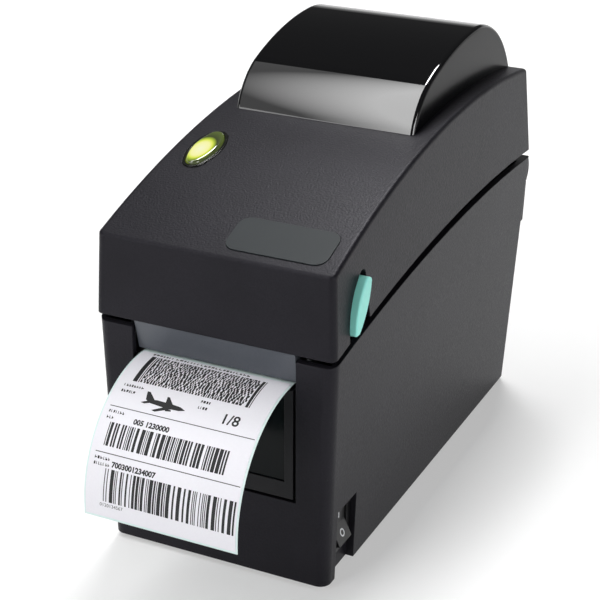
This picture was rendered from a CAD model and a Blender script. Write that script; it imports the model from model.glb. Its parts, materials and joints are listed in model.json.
# Desktop thermal label printer: charcoal moulded case, smoked roll window, lit feed button, printed label
import json
import math
import random

import bmesh
import bpy
from mathutils import Matrix, Vector


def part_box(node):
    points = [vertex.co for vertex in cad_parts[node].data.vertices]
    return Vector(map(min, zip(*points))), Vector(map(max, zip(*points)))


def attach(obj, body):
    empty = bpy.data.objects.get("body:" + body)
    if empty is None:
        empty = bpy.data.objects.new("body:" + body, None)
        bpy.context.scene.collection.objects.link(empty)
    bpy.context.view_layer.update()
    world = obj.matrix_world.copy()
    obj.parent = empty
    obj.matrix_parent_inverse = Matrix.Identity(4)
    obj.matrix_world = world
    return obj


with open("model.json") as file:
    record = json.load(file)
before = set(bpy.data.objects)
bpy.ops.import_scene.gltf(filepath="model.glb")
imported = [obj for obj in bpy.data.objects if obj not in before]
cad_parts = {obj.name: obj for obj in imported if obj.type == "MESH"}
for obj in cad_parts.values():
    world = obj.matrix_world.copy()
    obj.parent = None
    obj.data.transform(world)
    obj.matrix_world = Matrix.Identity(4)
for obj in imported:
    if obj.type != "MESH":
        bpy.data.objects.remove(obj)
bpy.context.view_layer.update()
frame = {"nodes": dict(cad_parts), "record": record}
MM = 0.001
nodes = frame["nodes"]


# Camera: the photograph's view, fitted on the case's corners
IMAGE_WIDTH = 600
FOCAL_PIXELS = 1665.916
SENSOR_MM = 36.0
AZIMUTH = math.radians(25.272)
ELEVATION = math.radians(24.107)
ROLL = math.radians(0.622)
DISTANCE = 711.126 * MM
TARGET = Vector((-11.825, -8.275, 71.994)) * MM
CLIP_START = 10 * MM


def add_camera():
    data = bpy.data.cameras.new("camera")
    data.sensor_width = SENSOR_MM
    data.lens = FOCAL_PIXELS / IMAGE_WIDTH * SENSOR_MM
    data.clip_start = CLIP_START
    camera = bpy.data.objects.new("camera", data)
    bpy.context.scene.collection.objects.link(camera)
    level = math.cos(ELEVATION)
    back = Vector((math.sin(AZIMUTH) * level, -math.cos(AZIMUTH) * level, math.sin(ELEVATION)))
    right = (-back).cross(Vector((0, 0, 1))).normalized()
    up = right.cross(-back)
    across = right * math.cos(ROLL) + up * math.sin(ROLL)
    upright = up * math.cos(ROLL) - right * math.sin(ROLL)
    turn = Matrix((across, upright, back)).transposed().to_4x4()
    camera.matrix_world = Matrix.Translation(TARGET + back * DISTANCE) @ turn
    bpy.context.scene.camera = camera


# Materials
def linear(code):
    """An sRGB hex colour as linear red, green, blue and alpha."""
    parts = [int(code[i : i + 2], 16) / 255 for i in (1, 3, 5)]
    return [p / 12.92 if p <= 0.04045 else ((p + 0.055) / 1.055) ** 2.4 for p in parts] + [1.0]


def add_node(tree, kind, links=None, **settings):
    """Adds a node: settings are its properties, links its sockets, as values or as a node and its output."""
    made = tree.nodes.new(kind)
    for name, value in settings.items():
        setattr(made, name, value)
    for socket, value in (links or {}).items():
        if isinstance(value, tuple) and isinstance(value[0], bpy.types.Node):
            tree.links.new(value[0].outputs[value[1]], made.inputs[socket])
        else:
            made.inputs[socket].default_value = value
    return made


def new_material(name):
    """An empty node material and its tree."""
    material = bpy.data.materials.new(name)
    material.use_nodes = True
    tree = material.node_tree
    tree.nodes.clear()
    return material, tree


def finish_material(tree, shader):
    """Links a shader to the material's output."""
    add_node(tree, "ShaderNodeOutputMaterial", {"Surface": (shader, 0)})


# Sockets of the Mix node that carry colours
COLOUR_A = 6
COLOUR_B = 7
COLOUR_OUT = 2
# Size of the patches over which a finish drifts in colour
PATCH_MM = 30
# How far the grain moves the roughness either way, over the middle of the noise's range
ROUGHNESS_SPREAD = 0.05
GRAIN_RANGE = {"From Min": 0.3, "From Max": 0.7}


def per_metre(size_mm):
    """Texture scale that gives features of a size in millimetres."""
    return 1000 / size_mm


def grained(name, dark, light, rough, grain_mm, depth_mm, edge_mm=0.4, **sockets):
    """A moulded or cast finish: colour drift in patches, fine grain in bump and roughness, softened edges."""
    material, tree = new_material(name)
    place = add_node(tree, "ShaderNodeTexCoord")
    spot = {"Vector": (place, "Object"), "Detail": 2.0}
    patch = add_node(tree, "ShaderNodeTexNoise", {**spot, "Scale": per_metre(PATCH_MM)})
    grain = add_node(tree, "ShaderNodeTexNoise", {**spot, "Scale": per_metre(grain_mm)})
    blend = add_node(tree, "ShaderNodeMath", {0: (patch, "Fac"), 1: (grain, "Fac")}, operation="MULTIPLY")
    colour = add_node(tree, "ShaderNodeMix", {"Factor": (blend, 0)}, data_type="RGBA")
    colour.inputs[COLOUR_A].default_value = linear(dark)
    colour.inputs[COLOUR_B].default_value = linear(light)
    spread = {"To Min": rough - ROUGHNESS_SPREAD, "To Max": rough + ROUGHNESS_SPREAD}
    roughness = add_node(tree, "ShaderNodeMapRange", {"Value": (grain, "Fac"), **GRAIN_RANGE, **spread})
    edge = add_node(tree, "ShaderNodeBevel", {"Radius": edge_mm * MM}, samples=4)
    relief = {"Height": (grain, "Fac"), "Distance": depth_mm * MM, "Normal": (edge, 0)}
    bump = add_node(tree, "ShaderNodeBump", relief)
    links = {"Base Color": (colour, COLOUR_OUT), "Roughness": (roughness, 0), "Normal": (bump, 0)}
    finish_material(tree, add_node(tree, "ShaderNodeBsdfPrincipled", {**links, **sockets}))
    return material


def charcoal_abs():
    # Injection-moulded ABS, spark-eroded to a dull grain of about 0.3 mm, drawn at 0.8 mm so that it shows:
    # near black, with a broad soft sheen
    finish = {"IOR": 1.53, "Specular IOR Level": 0.18, "Specular Tint": linear("#ebe9f4")}
    return grained("charcoal_abs", "#0e0d11", "#25242a", 0.43, 0.8, 0.1, 0.6, **finish)


def panel_abs():
    # The same ABS with a finer grain, on the frame of the removable panel
    finish = {"IOR": 1.53, "Specular IOR Level": 0.2}
    return grained("panel_abs", "#0d0d10", "#1e1e22", 0.45, 0.7, 0.03, **finish)


def insert_acrylic():
    # Polished smoked acrylic in the panel: greenish black, with clear reflections
    finish = {"IOR": 1.49, "Specular IOR Level": 0.12}
    return grained("insert_acrylic", "#0a0f10", "#12181a", 0.14, 2.0, 0.002, **finish)


def lip_abs():
    # Plain satin ABS of the label lip, lighter and bluer than the case
    return grained("lip_abs", "#484c53", "#585c64", 0.36, 0.8, 0.012, IOR=1.53)


def tray_abs():
    # Unpainted inner mouldings, slightly lighter and duller than the case
    return grained("tray_abs", "#1f2023", "#2e2f33", 0.55, 1.0, 0.02, IOR=1.53)


def smoked_polycarbonate():
    # Smoked polycarbonate: almost black, mirror-sharp on the polished bow and duller on its two flat ends,
    # with the faint flow waves of the moulding, 45 mm apart and 0.01 mm deep
    wave_mm = 45
    wave_depth = 0.01 * MM
    material, tree = new_material("smoked_polycarbonate")
    place = add_node(tree, "ShaderNodeTexCoord")
    waves = {"Vector": (place, "Object"), "Scale": per_metre(wave_mm), "Detail": 1.0}
    flow = add_node(tree, "ShaderNodeTexNoise", waves)
    relief = {"Height": (flow, "Fac"), "Distance": wave_depth, "Strength": 0.1}
    bump = add_node(tree, "ShaderNodeBump", relief)
    facing = add_node(tree, "ShaderNodeSeparateXYZ", {0: (place, "Normal")})
    aside = add_node(tree, "ShaderNodeMath", {0: (facing, "X")}, operation="ABSOLUTE")
    ends = {"Value": (aside, 0), "From Min": 0.6, "From Max": 0.95}
    rough = add_node(tree, "ShaderNodeMapRange", {**ends, "To Min": 0.03, "To Max": 0.22})
    gloss = add_node(tree, "ShaderNodeMapRange", {**ends, "To Min": 0.95, "To Max": 0.03})
    links = {"Base Color": linear("#0b0b0d"), "IOR": 1.58, "Transmission Weight": 0.2}
    links.update({"Roughness": (rough, 0), "Specular IOR Level": (gloss, 0), "Normal": (bump, 0)})
    finish_material(tree, add_node(tree, "ShaderNodeBsdfPrincipled", links))
    return material


def mint_abs():
    # Mint ABS of the release levers, satin from a polished mould, with only a slow drift of its sheen
    return grained("mint_abs", "#94efe2", "#a4f6eb", 0.42, 16.0, 0.0, 0.1, IOR=1.53)


def black_nylon():
    # Glass-filled nylon of the rocker switch and the power inlet: black, half gloss, with a fine grain
    return grained("black_nylon", "#0a0a0b", "#161618", 0.33, 0.8, 0.012)


def ring_abs():
    # Polished ABS of the ring round the feed button: gloss black with an olive cast from the lamp
    return grained("ring_abs", "#141512", "#20211d", 0.16, 1.0, 0.002, IOR=1.53)


def badge_film():
    # Matt polyester film of the bare plate: cool grey, a little lighter than the case
    finish = {"Specular IOR Level": 0.15}
    return grained("badge_film", "#2a2e30", "#363a3c", 0.5, 0.9, 0.006, 0.2, **finish)


def rubber(name, dark, light):
    # Moulded rubber, dull with a faint bloom
    return grained(name, dark, light, 0.7, 0.8, 0.02)


def plated_steel():
    # Zinc-plated sheet steel, with a faint spangle of a few millimetres
    return grained("plated_steel", "#9a9da0", "#b9bcbf", 0.34, 3.0, 0.004, 0.2, Metallic=1.0)


def turned_steel():
    # Ground steel shafts and pins: bright grey, with fairly sharp reflections
    return grained("turned_steel", "#a8aaac", "#c6c8ca", 0.22, 0.6, 0.003, 0.2, Metallic=1.0)


def extruded_aluminium():
    # Extruded aluminium heat sink: pale and satin, with the fine grain of the die
    return grained("extruded_aluminium", "#b5b8ba", "#cdd0d2", 0.32, 0.7, 0.006, 0.2, Metallic=1.0)


def machined_brass():
    # Hobbed brass pinion: warm yellow, with a fine tool grain
    return grained("machined_brass", "#b08d4c", "#c8a661", 0.28, 0.7, 0.004, 0.1, Metallic=1.0)


def acetal():
    # Natural acetal gears and bushes: waxy off-white
    return grained("acetal", "#d9d6cb", "#e6e3da", 0.38, 1.0, 0.006, 0.1)


def circuit_board():
    # Glass-epoxy board under green solder mask: dark green, half gloss, with the weave of the glass
    return grained("circuit_board", "#0f3d22", "#175030", 0.3, 0.9, 0.008, 0.1)


def glazed_alumina():
    # Glazed ceramic print head: cream and glossy
    return grained("glazed_alumina", "#cfc8b8", "#ded8ca", 0.2, 1.0, 0.003, 0.2)


def cardboard():
    # Spiral-wound cardboard core: brown, dull and fibrous
    return grained("cardboard", "#8a6a48", "#a58560", 0.8, 0.6, 0.03, 0.2)


def wound_paper():
    # Paper wound in layers: rings of about 0.2 mm on the ends, drawn at 1.2 mm so that they show
    ring_mm = 1.2
    level = (0.0, 1.0, 1.0)
    material, tree = new_material("wound_paper")
    low, high = (Vector(corner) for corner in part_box("label_roll"))
    middle = (low + high) / 2
    place = add_node(tree, "ShaderNodeTexCoord")
    shifted = add_node(tree, "ShaderNodeVectorMath", {0: (place, "Object"), 1: -middle}, operation="ADD")
    flat = add_node(tree, "ShaderNodeVectorMath", {0: (shifted, 0), 1: level}, operation="MULTIPLY")
    radius = add_node(tree, "ShaderNodeVectorMath", {0: (flat, 0)}, operation="LENGTH")
    count = {0: (radius, "Value"), 1: per_metre(ring_mm)}
    layer = add_node(tree, "ShaderNodeMath", count, operation="MULTIPLY")
    rings = {"W": (layer, 0), "Scale": 1.0, "Detail": 2.0}
    noise = add_node(tree, "ShaderNodeTexNoise", rings, noise_dimensions="1D")
    colour = add_node(tree, "ShaderNodeMix", {"Factor": (noise, "Fac")}, data_type="RGBA")
    colour.inputs[COLOUR_A].default_value = linear("#c9d3d4")
    colour.inputs[COLOUR_B].default_value = linear("#f2f2ef")
    links = {"Base Color": (colour, COLOUR_OUT), "Roughness": 0.6}
    finish_material(tree, add_node(tree, "ShaderNodeBsdfPrincipled", links))
    return material


def thermal_paper():
    # Top-coated thermal paper: bright white, faintly glossy, with fibre mottle
    return grained("thermal_paper", "#e9e8ee", "#f5f4fa", 0.5, 0.8, 0.004, 0.1)


def glassine_liner():
    # Silicone-coated glassine, white with a faint turquoise cast
    return grained("glassine_liner", "#d9ecea", "#e6f3f2", 0.35, 0.9, 0.003, 0.1)


def thermal_ink():
    # Thermal print: near black, dull, a little uneven
    return grained("thermal_ink", "#0c0c0f", "#1a1a1e", 0.6, 0.5, 0.0, 0.0)


def white_mark():
    # Pad-printed marks on the rocker: off-white and matt
    return grained("white_mark", "#d4d6d9", "#e6e7e9", 0.5, 0.8, 0.0, 0.0)


def lamp_plastic():
    # Clear acrylic light guide: pale yellow over the lamp at the front, lime and then dark towards the rear.
    # The lamp's place is a share of the button's box, and the glow fades over its two reaches
    lamp_across = 0.44
    lamp_along = 0.36
    glow_across = 4.2 * MM
    glow_along = 7.4 * MM
    stops = (
        (0.0, "#ffffd4"),
        (0.36, "#fffcaa"),
        (0.46, "#e8f25c"),
        (0.54, "#a9c035"),
        (0.64, "#363e1e"),
        (0.9, "#55642c"),
    )
    material, tree = new_material("lamp_plastic")
    low, high = (Vector(corner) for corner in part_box("feed_button"))
    place = add_node(tree, "ShaderNodeTexCoord")
    size = high - low
    lamp = Vector((low.x + lamp_across * size.x, low.y + lamp_along * size.y, 0))
    spread = (1 / glow_across, 1 / glow_along, 0.0)
    aside = add_node(tree, "ShaderNodeVectorMath", {0: (place, "Object"), 1: lamp}, operation="SUBTRACT")
    scaled = add_node(tree, "ShaderNodeVectorMath", {0: (aside, 0), 1: spread}, operation="MULTIPLY")
    away = add_node(tree, "ShaderNodeVectorMath", {0: (scaled, 0)}, operation="LENGTH")
    # The ramp reaches twice as far as the glow
    half = add_node(tree, "ShaderNodeMath", {0: (away, "Value"), 1: 0.5}, operation="MULTIPLY")
    glow = add_node(tree, "ShaderNodeValToRGB", {"Fac": (half, 0)})
    # A new ramp has two stops, and the rest are added
    for number, (at, code) in enumerate(stops):
        stop = glow.color_ramp.elements[number] if number < 2 else glow.color_ramp.elements.new(at)
        stop.position = at
        stop.color = linear(code)
    links = {"Base Color": linear("#22261a"), "Roughness": 0.1, "IOR": 1.49, "Coat Weight": 1.0}
    links.update({"Emission Color": (glow, 0), "Emission Strength": 1.0, "Coat Roughness": 0.02})
    finish_material(tree, add_node(tree, "ShaderNodeBsdfPrincipled", links))
    return material


def dress(finish, *names):
    """Gives a finish to the named CAD nodes."""
    for name in names:
        slots = nodes[name].data.materials
        slots.clear()
        slots.append(finish)


def dress_nodes():
    dress(charcoal_abs(), "base_housing", "top_cover")
    dress(panel_abs(), "front_panel")
    dress(insert_acrylic(), "panel_insert")
    dress(lip_abs(), "print_lip")
    holders = ("guide_left", "guide_right")
    dress(tray_abs(), "media_bay", "bottom_plate", "head_bracket", *holders, "label_sensor")
    dress(smoked_polycarbonate(), "window")
    dress(mint_abs(), "lever_left", "lever_right")
    dress(black_nylon(), "power_rocker", "switch_body", "dc_jack")
    dress(ring_abs(), "button_ring")
    dress(badge_film(), "badge_plate")
    dress(lamp_plastic(), "feed_button")
    dress(rubber("foot_rubber", "#161616", "#202020"), "rubber_feet")
    dress(rubber("platen_silicone", "#2a2a2b", "#363638"), "platen_rubber")
    dress(plated_steel(), "print_frame", "drive_motor", "usb_port", "serial_port", "lan_port")
    steel = ("platen_shaft", "latch_shaft", "hinge_pins", "strike_pins", "idler_axle", "motor_shaft")
    dress(turned_steel(), *steel, "hook_left", "hook_right", "tear_bar", "head_springs", "bottom_screws")
    dress(extruded_aluminium(), "heat_sink")
    dress(machined_brass(), "motor_pinion")
    dress(acetal(), "platen_gear", "idler_gear", "guide_pinion", "platen_bush_left", "platen_bush_right")
    dress(circuit_board(), "main_board", "button_board")
    dress(glazed_alumina(), "print_head")
    dress(cardboard(), "label_core")
    dress(wound_paper(), "label_roll")
    dress(thermal_paper(), "printed_label")
    dress(glassine_liner(), "label_liner")


# Label print, drawn flat and then laid on the curl of the printed label
class LabelFace:
    """The label's outer face: flat at the outlet, a quarter turn of the curl, then straight down."""

    # The flat start at the outlet, and how far the print stands off the face
    START = 1.2 * MM
    PROUD = 0.015 * MM
    # The length that is cut for the curl, and the length of each cut
    RUN_MM = 70
    STRIP_MM = 1.0

    def __init__(self):
        low, high = (Vector(corner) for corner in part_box("printed_label"))
        self.exit_y = high.y - self.START
        self.radius = self.exit_y - low.y
        self.centre_z = high.z - self.radius
        self.quarter = self.radius * math.pi / 2

    def at(self, x, run):
        """The point at x across the label and a run down from the outlet, in millimetres."""
        down = run * MM
        reach = self.radius + self.PROUD
        if down < 0:
            return Vector((x * MM, self.exit_y - down, self.centre_z + reach))
        turn = min(down, self.quarter) / self.radius
        drop = max(down - self.quarter, 0)
        across = self.exit_y - reach * math.sin(turn)
        return Vector((x * MM, across, self.centre_z + reach * math.cos(turn) - drop))

    def lay(self, sheet):
        """Bends a flat sheet of print on the label, cut into short lengths that follow the curl."""
        for number in range(1, round(self.RUN_MM / self.STRIP_MM)):
            everything = sheet.verts[:] + sheet.edges[:] + sheet.faces[:]
            cut = Vector((0, number * self.STRIP_MM, 0))
            bmesh.ops.bisect_plane(sheet, geom=everything, plane_co=cut, plane_no=(0, 1, 0))
        for vertex in sheet.verts:
            vertex.co = self.at(vertex.co.x, vertex.co.y)
        sheet.normal_update()
        for piece in sheet.faces:
            outward = piece.calc_center_median() - Vector((0, self.exit_y, self.centre_z))
            outward.x = 0
            if piece.normal.dot(outward) < 0:
                piece.normal_flip()


def new_piece(name, mesh, finish, body):
    """Adds a mesh piece that rides on a body, with its finish and the record's slot."""
    piece = bpy.data.objects.new(name, mesh)
    bpy.context.scene.collection.objects.link(piece)
    mesh.materials.append(finish)
    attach(piece, body)


def print_on_label():
    """Two bar codes, a stacked code, rules, number lines and a small aeroplane sign, all generic.

    Places across the label and runs down from its outlet are in millimetres.
    """
    draw = random.Random(7)
    sheet = bmesh.new()
    module = 0.36
    code_row = 1.1
    code_margin = 3.0
    rule_left = -29.0
    rule_right = 30.4
    rule_thick = 0.3
    small = {"tall": 1.1, "letter": 0.9}
    # Shares of a letter's width
    stroke_share = 0.28
    gap_share = 0.4
    bold = 0.12

    def bar(x0, x1, run0, run1):
        """A filled rectangle of print."""
        corners = ((x0, run0), (x1, run0), (x1, run1), (x0, run1))
        sheet.faces.new([sheet.verts.new((x, run, 0)) for x, run in corners])

    def bar_code(x0, x1, run0, run1):
        """Bars and gaps of one to four modules."""
        x = x0
        while x < x1 - 3 * module:
            width = module * draw.choice((1, 1, 2, 2, 3, 4))
            bar(x, x + width, run0, run1)
            x += width + module * draw.choice((1, 1, 1, 2, 3))
        bar(x1 - 2 * module, x1, run0, run1)

    def stacked_code(x0, x1, run0, run1):
        """Rows of short bars between a start and a stop pattern."""
        starts = ((x0, x0 + 1.8), (x0 + 2.2, x0 + 2.6))
        stops = ((x1 - 1.8, x1 - 0.7), (x1 - 0.35, x1))
        for left, right in starts + stops:
            bar(left, right, run0, run1)
        count = round((run1 - run0) / code_row)
        for number in range(count):
            x = x0 + code_margin
            while x < x1 - code_margin:
                width = module * draw.choice((1, 2, 2, 3))
                bar(x, x + width, run0 + number * code_row, run0 + (number + 1) * code_row)
                x += width + module * draw.choice((1, 1, 2))

    def greeked(x0, x1, run, tall, letter):
        """A line of small print, too small to read: upright strokes of a letter's width."""
        x = x0
        while x < x1:
            wide = letter * draw.uniform(0.5, 1.0)
            stroke = letter * stroke_share
            bar(x, x + stroke, run, run + tall)
            head = run + tall * draw.choice((0.0, 0.4, 0.75))
            foot = run + tall * draw.choice((0.8, 1.0))
            bar(x + stroke, x + wide, head, foot)
            x += wide + letter * gap_share

    def rule(run):
        """A thin line across the label."""
        bar(rule_left, rule_right, run, run + rule_thick)

    greeked(-26.0, 14.0, -0.6, tall=1.2, letter=1.3)
    stacked_code(-25.5, 23.0, 1.6, 17.2)
    greeked(-27.7, -19.4, 18.9, **small)
    greeked(-27.6, -21.9, 21.6, **small)
    greeked(4.4, 8.4, 18.6, **small)
    greeked(4.4, 8.0, 21.3, **small)
    rule(29.0)
    greeked(-28.6, -22.3, 30.7, **small)
    greeked(-28.6, -25.6, 33.1, **small)
    bar_code(-26.4, 23.0, 35.3, 44.2)
    rule(46.6)
    greeked(-28.8, -22.6, 48.3, **small)
    greeked(-28.8, -22.9, 50.5, **small)
    bar_code(-23.6, 30.2, 52.2, 64.9)
    figures(sheet, "1/8", 14.8, 26.0, tall=4.2, bold=0.1)
    figures(sheet, "005 1230000", -17.4, 34.2, tall=2.0, bold=bold)
    figures(sheet, "7003001234007", -21.4, 51.3, tall=2.0, bold=bold)
    figures(sheet, "0120134567", -25.0, 67.0, tall=1.4)
    aeroplane(sheet)
    LabelFace().lay(sheet)
    mesh = bpy.data.meshes.new("label_print")
    sheet.to_mesh(mesh)
    sheet.free()
    new_piece("label_print", mesh, thermal_ink(), "base")


# Font size for a figure's height, and the steps in each of its curves
FONT_PER_FIGURE = 1.4
FIGURE_STEPS = 3


def figures(sheet, text, x0, foot, tall, bold=0.0):
    """Plain figures with their foot at a run down the label."""
    data = bpy.data.curves.new("figures", "FONT")
    data.body = text
    data.size = tall * FONT_PER_FIGURE
    data.resolution_u = FIGURE_STEPS
    data.offset = bold
    carrier = bpy.data.objects.new("figures", data)
    shape = bpy.data.meshes.new_from_object(carrier)
    first = len(sheet.verts)
    sheet.from_mesh(shape)
    sheet.verts.ensure_lookup_table()
    for vertex in sheet.verts[first:]:
        vertex.co = (x0 + vertex.co.x, foot - vertex.co.y, 0)
    bpy.data.objects.remove(carrier)
    bpy.data.meshes.remove(shape)
    bpy.data.curves.remove(data)


def aeroplane(sheet):
    """A plain view of a jet: fuselage, fin, tailplane, engine and two wings."""
    back = [(-16.6, 23.6), (-12.0, 23.0), (-6.0, 23.2), (-2.0, 23.6), (0.3, 24.6)]
    belly = [(-2.2, 25.3), (-8.0, 25.4), (-14.5, 24.8)]
    fin = [(-17.4, 20.2), (-16.2, 20.2), (-13.0, 23.2), (-16.5, 23.8)]
    tailplane = [(-18.0, 25.2), (-15.6, 24.1), (-13.6, 24.5), (-16.4, 25.5)]
    far_wing = [(-8.8, 20.6), (-7.9, 20.6), (-5.4, 23.3), (-8.4, 23.2)]
    near_wing = [(-12.6, 27.4), (-8.0, 25.0), (-4.6, 25.1), (-11.0, 27.7)]
    engine = [(-7.4, 26.0), (-5.2, 25.6), (-4.9, 26.2), (-7.2, 26.6)]
    for outline in (back + belly, fin, tailplane, far_wing, near_wing, engine):
        sheet.faces.new([sheet.verts.new((x, run, 0)) for x, run in outline])


# Marks on the rocker switch, on its two faces
ROCKER_FACE = 2.6 * MM
ROCKER_TILT = math.radians(12)
ROCKER_HALF = 7.7 * MM
MARK_PROUD = 0.03 * MM
# Where the marks sit on a half, and their sizes in millimetres
MARK_PLACE = 0.52
STROKE_HALF_WIDTH = 0.35
STROKE_HALF_HEIGHT = 1.5
RING_INNER = 1.05
RING_OUTER = 1.65
RING_SIDES = 24
WELD = 0.001 * MM


def mark_rocker():
    """A stroke on the pressed half and a ring on the raised half, pad-printed in white."""
    joints = frame["record"]["behaviour"]["joints"]
    pivot = next(Vector(joint["pos_m"]) for joint in joints if joint["name"] == "rocker_turn")
    sheet = bmesh.new()
    wide = STROKE_HALF_WIDTH
    tall = STROKE_HALF_HEIGHT
    stroke = [(-wide, -tall), (wide, -tall), (wide, tall), (-wide, tall)]
    turns = [2 * math.pi * number / RING_SIDES for number in range(RING_SIDES)]
    inner = [(RING_INNER * math.cos(turn), RING_INNER * math.sin(turn)) for turn in turns]
    outer = [(RING_OUTER * math.cos(turn), RING_OUTER * math.sin(turn)) for turn in turns]
    quads = [(outer[i - 1], outer[i], inner[i], inner[i - 1]) for i in range(RING_SIDES)]
    for side, shapes in ((1, [stroke]), (-1, quads)):
        # Each half leans by the tilt from the rocker's upright, and the whole is turned back by it at rest
        lean = ROCKER_TILT * (1 - side)
        up = Vector((-math.sin(lean), 0, math.cos(lean)))
        out = Vector((math.cos(lean), 0, math.sin(lean)))
        ridge = pivot + ROCKER_FACE * Vector((math.cos(ROCKER_TILT), 0, math.sin(ROCKER_TILT)))
        middle = ridge + side * up * ROCKER_HALF * MARK_PLACE + out * MARK_PROUD
        for shape in shapes:
            points = [middle + Vector((0, u * MM, 0)) + up * v * MM for u, v in shape]
            sheet.faces.new([sheet.verts.new(point) for point in points])
    bmesh.ops.remove_doubles(sheet, verts=sheet.verts, dist=WELD)
    mesh = bpy.data.meshes.new("rocker_marks")
    sheet.to_mesh(mesh)
    sheet.free()
    new_piece("rocker_marks", mesh, white_mark(), "rocker")


# Studio: white floor and pale horizon, a softbox over the front left, one over the rear, and two fills
FLOOR_REACH = 6.0
WHITE = (1.0, 1.0, 1.0, 1.0)
# Pale up to a low height above the horizon, then dark, so that the window stays black above its highlight
HORIZON_FADE = {"From Min": 0.06, "From Max": 0.22, "To Min": 1.0, "To Max": 0.05}
# The floor's lift by the distance in metres, so that it stays white where the softboxes fall off
FLOOR_LIFT = {"From Min": 0.3, "From Max": 1.8, "To Min": 0.36, "To Max": 1.0}
# Each softbox with its place in metres, tilt in degrees from facing down, size in metres and power in watts
SOFTBOXES = (
    ("long_softbox", (-0.40, -0.435, 0.814), (26, 0, 0), (0.52, 1.66), 14.5),
    ("back_softbox", (-0.15, 0.47, 1.10), (-25, 0, 0), (0.30, 0.36), 9.5),
    ("front_softbox", (-0.55, -1.2, 0.42), (78, 0, -24), (0.8, 0.6), 2.8),
    ("fill_softbox", (1.1, -0.45, 0.50), (20, 70, 0), (0.6, 0.6), 6.0),
)
# The graded softbox is dim on its left, as the window's highlight is
GRADED = "long_softbox"
SOFTBOX_FADE = {"From Min": 0.43, "From Max": 0.72, "To Min": 0.1, "To Max": 1.0}


def add_studio():
    world = bpy.data.worlds.new("surround")
    bpy.context.scene.world = world
    world.use_nodes = True
    tree = world.node_tree
    tree.nodes.clear()
    place = add_node(tree, "ShaderNodeTexCoord")
    height = add_node(tree, "ShaderNodeSeparateXYZ", {0: (place, "Generated")})
    strength = add_node(tree, "ShaderNodeMapRange", {"Value": (height, "Z"), **HORIZON_FADE})
    surround = add_node(tree, "ShaderNodeBackground", {"Strength": (strength, 0)})
    surround.inputs["Color"].default_value = WHITE
    add_node(tree, "ShaderNodeOutputWorld", {"Surface": (surround, 0)})
    floor_mesh = bpy.data.meshes.new("floor")
    reach = FLOOR_REACH
    corners = [(-reach, -reach, 0), (reach, -reach, 0), (reach, reach, 0), (-reach, reach, 0)]
    floor_mesh.from_pydata(corners, [], [(0, 1, 2, 3)])
    floor = bpy.data.objects.new("floor", floor_mesh)
    bpy.context.scene.collection.objects.link(floor)
    floor_mesh.materials.append(floor_paper())
    for name, spot, tilt, size, watts in SOFTBOXES:
        add_lamp(name, spot, tilt, size, watts, graded=name == GRADED)


def floor_paper():
    # White background paper, lifted a little for the eye, gloss and glass, so that only the shadow shows.
    # Its fibre clouds are about 40 mm wide
    cloud_mm = 40
    material, tree = new_material("floor_paper")
    path = add_node(tree, "ShaderNodeLightPath")
    place = add_node(tree, "ShaderNodeTexCoord")
    fibre = add_node(tree, "ShaderNodeTexNoise", {"Vector": (place, "Object"), "Scale": per_metre(cloud_mm)})
    rough = add_node(tree, "ShaderNodeMapRange", {"Value": (fibre, "Fac"), "To Min": 0.85, "To Max": 0.95})
    eye_or_gloss = {0: (path, "Is Camera Ray"), 1: (path, "Is Glossy Ray")}
    sharp = add_node(tree, "ShaderNodeMath", eye_or_gloss, operation="MAXIMUM")
    or_glass = {0: (sharp, 0), 1: (path, "Is Transmission Ray")}
    seen = add_node(tree, "ShaderNodeMath", or_glass, operation="MAXIMUM")
    away = add_node(tree, "ShaderNodeVectorMath", {0: (place, "Object")}, operation="LENGTH")
    even = add_node(tree, "ShaderNodeMapRange", {"Value": (away, "Value"), **FLOOR_LIFT})
    lift = add_node(tree, "ShaderNodeMath", {0: (seen, 0), 1: (even, 0)}, operation="MULTIPLY")
    links = {"Roughness": (rough, 0), "Specular IOR Level": 0.1, "Emission Strength": (lift, 0)}
    paper = add_node(tree, "ShaderNodeBsdfPrincipled", links)
    paper.inputs["Base Color"].default_value = linear("#d2d2d2")
    paper.inputs["Emission Color"].default_value = WHITE
    finish_material(tree, paper)
    return material


def add_lamp(name, place, tilt, size, watts, graded=False):
    """A softbox turned by its tilt from facing down; a graded one dims towards its left end."""
    data = bpy.data.lights.new(name, "AREA")
    data.shape = "RECTANGLE"
    data.size, data.size_y = size
    data.energy = watts
    lamp = bpy.data.objects.new(name, data)
    bpy.context.scene.collection.objects.link(lamp)
    lamp.location = place
    lamp.rotation_euler = [math.radians(angle) for angle in tilt]
    if graded:
        data.use_nodes = True
        tree = data.node_tree
        tree.nodes.clear()
        spot = add_node(tree, "ShaderNodeNewGeometry")
        across = add_node(tree, "ShaderNodeSeparateXYZ", {0: (spot, "Parametric")})
        strength = add_node(tree, "ShaderNodeMapRange", {"Value": (across, "X"), **SOFTBOX_FADE})
        light = add_node(tree, "ShaderNodeEmission", {"Strength": (strength, 0)})
        add_node(tree, "ShaderNodeOutputLight", {0: (light, 0)})


bpy.context.scene.view_settings.view_transform = "Standard"
add_camera()
dress_nodes()
print_on_label()
mark_rocker()
add_studio()
